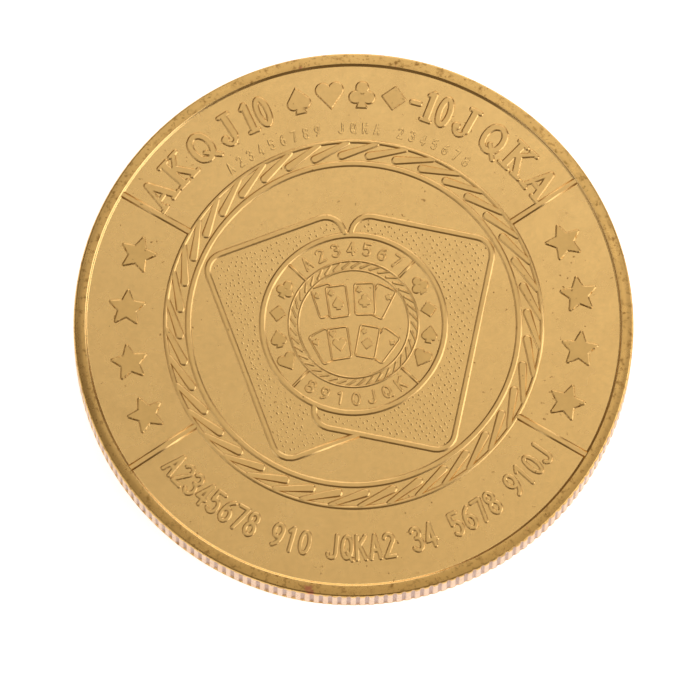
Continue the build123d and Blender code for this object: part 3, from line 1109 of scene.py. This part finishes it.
# hands of cards in the chip's window
hands = {
    "width": 1.42 * mm, "height": 2.3 * mm, "corner": 0.2 * mm,
    "line": 0.10 * mm, "slope": 0.07 * mm, "pip": 0.95 * mm, "smallPip": 0.5 * mm,
    "grid": 0.036 * mm,
    "pipAt": (0, -0.12 * mm), "cornerAt": (-0.38 * mm, 0.72 * mm),   # on the front card
    "backAt": (0.40 * mm, 0.55 * mm),                                # on the back card's far side
    "pairs": [
        ("spade", (-1.08, 1.67, 6.5), (-2.0, 1.75, 16.0)),
        ("club", (0.85, 1.80, 0.0), (1.95, 1.60, -28.0)),
        ("heart", (-1.05, -1.40, 7.0), (-2.1, -1.60, 27.0)),
        ("diamond", (0.95, -1.35, -12.0), (2.05, -1.65, -38.0)),
    ],
}


def handParts(h):
    outline = roundedCard(h["width"], h["height"], h["corner"], 4)
    parts = []
    for suit, *pair in h["pairs"]:
        front, back = ((x * mm, y * mm, turn) for x, y, turn in pair)

        def covered(p):
            return onCard(h, front, p.x, p.y)

        parts.append(sweepRidge(placed(outline, *front), h["line"], face["fineHeight"],
                                h["slope"], True))
        for run in openRuns(placed(outline, *back), covered):
            parts.append(sweepRidge(thinned(run), h["line"], face["fineHeight"], h["slope"]))
        backAt = (math.copysign(h["backAt"][0], back[0]), h["backAt"][1])
        for size, at, card in ((h["pip"], h["pipAt"], front),
                               (h["smallPip"], h["cornerAt"], front),
                               (h["smallPip"], backAt, back)):
            pip = raise2d(pipShape(suit, size), (0.7 * size, 0.7 * size), face["fineHeight"],
                          h["slope"], h["grid"])
            parts.append(moved(moved(pip, *at, 0), *card))
    return parts


addPiece("chipHands", handParts(hands), reliefGold)
print("hands made")

# upper legend: ranks and suits with feet, where a coin has its lettering
upper = {
    "marks": ["A", "K", "Q", "J", "10", "", "spade", "heart", "club", "diamond", "-",
              "10", "J", "Q", "K", "A"],
    "radius": 16.92 * mm, "height": 2.3 * mm, "stroke": 0.42 * mm, "pitch": 7.8,
    "narrow": 0.4, "slope": 0.12 * mm, "grid": 0.034 * mm,
}


def upperParts(u):
    suits = ("spade", "heart", "club", "diamond")
    widths = [u["narrow"] if m in ("", "-") else 1.0 for m in u["marks"]]
    parts, run = [], -sum(widths) / 2
    for mark, width in zip(u["marks"], widths):
        angle = 90 - (run + width / 2) * u["pitch"]
        run += width
        if not mark:
            continue
        if mark in suits:
            h = 0.86 * u["height"]
            part = raise2d(pipShape(mark, h), (0.7 * h, 0.7 * h), face["lineHeight"],
                           u["slope"], u["grid"])
        else:
            part = rankPart(mark, footedRanks, u["height"], u["stroke"], face["lineHeight"],
                            u["slope"], u["grid"], 0.24)
        parts.append(moved(part, *onRing(u["radius"], angle), angle - 90))
    return parts


addPiece("upperLegend", upperParts(upper), reliefGold)

# lower legend: small plain ranks in groups
lower = {
    "marks": "A2345678 910 JQKA2 34 5678 910J", "middle": -90, "radius": 16.38 * mm,
    "pitch": 3.52, "height": 1.68 * mm, "stroke": 0.27 * mm, "width": 1.0,
    "relief": face["lineHeight"] * 0.8, "slope": 0.11 * mm, "grid": 0.036 * mm,
}
addPiece("lowerLegend", ringOfRanks(lower), reliefGold)

# faint line of ranks between the upper legend and the rope
faint = {
    "marks": "A23456789 JQKA 2345678", "middle": 90, "radius": 14.45 * mm,
    "pitch": 3.4, "height": 0.74 * mm, "stroke": 0.12 * mm, "width": 1.0,
    "relief": 0.017 * mm, "slope": 0.09 * mm, "grid": 0.040 * mm,
}
addPiece("faintLegend", ringOfRanks(faint), fieldGold)
print("legends made")


def dishedZ(x, y):
    r = math.hypot(x, y) / rimInner
    return face["dish"] * (1 - r * r) if r < 1 else 0.0


def finishPiece(mesh):
    # in its place on the object; gives its number of triangles
    obj = newObject(mesh.name, mesh)
    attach(obj, "root")
    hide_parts("gold_plate")
    return sum(len(p.vertices) - 2 for p in mesh.polygons)


total = 0
for name, mesh in sidePieces:
    for v in mesh.vertices:
        v.co.z += dishedZ(v.co.x, v.co.y)
    mesh.update()
    over = mesh.copy()
    for v in over.vertices:
        v.co = Vector((-v.co.x, v.co.y, coinTop + coinBottom - v.co.z))
    over.update()
    for side, m in (("Obverse", mesh), ("Reverse", over)):
        m.name = name + side
        total += finishPiece(m)
total += finishPiece(edgeMesh)
print("triangles", total)


def plainMetal(name, colour, rough):
    material, tree, shader, at = metalNodes(name)
    shade = tuple(c * 0.8 for c in colour)
    bump = addNode(tree, "ShaderNodeBump", {
        "Strength": 0.4, "Distance": 0.004 * mm, "Height": noiseNode(tree, at, 3000, 3)})
    for key, value in (
            ("Base Color", noiseRamp(tree, at, 900, 4, (0.3, shade), (0.7, colour))),
            ("Roughness", noiseRamp(tree, at, 1500, 3, (0.3, rough), (0.7, rough + 0.15))),
            ("Normal", bump.outputs[0])):
        tree.links.new(value, shader.inputs[key])
    return material


layers = {"copper_underplate": plainMetal("copperLayer", (0.62, 0.28, 0.17), 0.3),
          "struck_core": plainMetal("baseMetal", (0.46, 0.45, 0.44), 0.35)}
for node, material in layers.items():
    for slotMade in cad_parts[node].material_slots:
        slotMade.material = material


studio = {
    "floorSize": 1.6,
    "floorGlow": 0.80,
    "air": 0.14,
    "airColour": (1.0, 0.80, 0.56),
    "lamps": [
        # name, direction (azimuth, elevation), distance, size, brightness, colour
        ("overhead", 172, 54, 0.9, (0.85, 0.72), 0.85, (1.0, 1.0, 1.0)),
        ("ceiling", 30, 84, 0.95, (0.8, 0.6), 0.50, (1.0, 0.95, 0.84)),
        ("rightPanel", 77, 27, 0.9, (1.0, 0.66), 2.0, (0.97, 0.99, 1.04)),
        ("backPanel", 165, 15, 0.9, (0.9, 0.36), 1.8, (0.96, 0.99, 1.06)),
        ("lowLeft", -62, 27, 0.9, (0.45, 0.34), 1.0, (0.96, 0.99, 1.06)),
        ("leftStrip", -96, 22, 0.9, (0.7, 0.3), 0.65, (1.0, 0.98, 0.96)),
    ],
}


def makeFloor(s):
    half = s["floorSize"] / 2
    corners = [(x * half, y * half, coinBottom) for x, y in ((-1, -1), (1, -1), (1, 1), (-1, 1))]
    floor = newObject("floor", newMesh("floor", corners, [(0, 1, 2, 3)]))
    material = bpy.data.materials.new("paleFloor")
    shader = shaderNodes(material)[1]
    shader.inputs["Base Color"].default_value = (0.93, 0.93, 0.93, 1)
    shader.inputs["Roughness"].default_value = 0.9
    shader.inputs["Emission Color"].default_value = (1, 1, 1, 1)
    shader.inputs["Emission Strength"].default_value = s["floorGlow"]
    floor.data.materials.append(material)


def makeLights(s):
    world = bpy.data.worlds.new("studio")
    world.use_nodes = True
    sky = world.node_tree.nodes["Background"]
    sky.inputs["Color"].default_value = (*s["airColour"], 1)
    sky.inputs["Strength"].default_value = s["air"]
    bpy.context.scene.world = world
    target = Vector((0, 0, coinTop))
    for name, az, el, distance, size, bright, colour in s["lamps"]:
        a, e = math.radians(az), math.radians(el)
        out = Vector((math.sin(a) * math.cos(e), -math.cos(a) * math.cos(e), math.sin(e)))
        data = bpy.data.lights.new(name, "AREA")
        data.shape = "RECTANGLE"
        data.size, data.size_y = size
        data.color = colour
        data.energy = bright * math.pi * size[0] * size[1]
        lamp = bpy.data.objects.new(name, data)
        lamp.location = target + out * distance
        lamp.rotation_mode = "QUATERNION"
        lamp.rotation_quaternion = out.to_track_quat("Z", "Y")
        bpy.context.scene.collection.objects.link(lamp)


makeFloor(studio)
makeLights(studio)
bpy.context.scene.view_settings.view_transform = "Standard"
print("studio made")
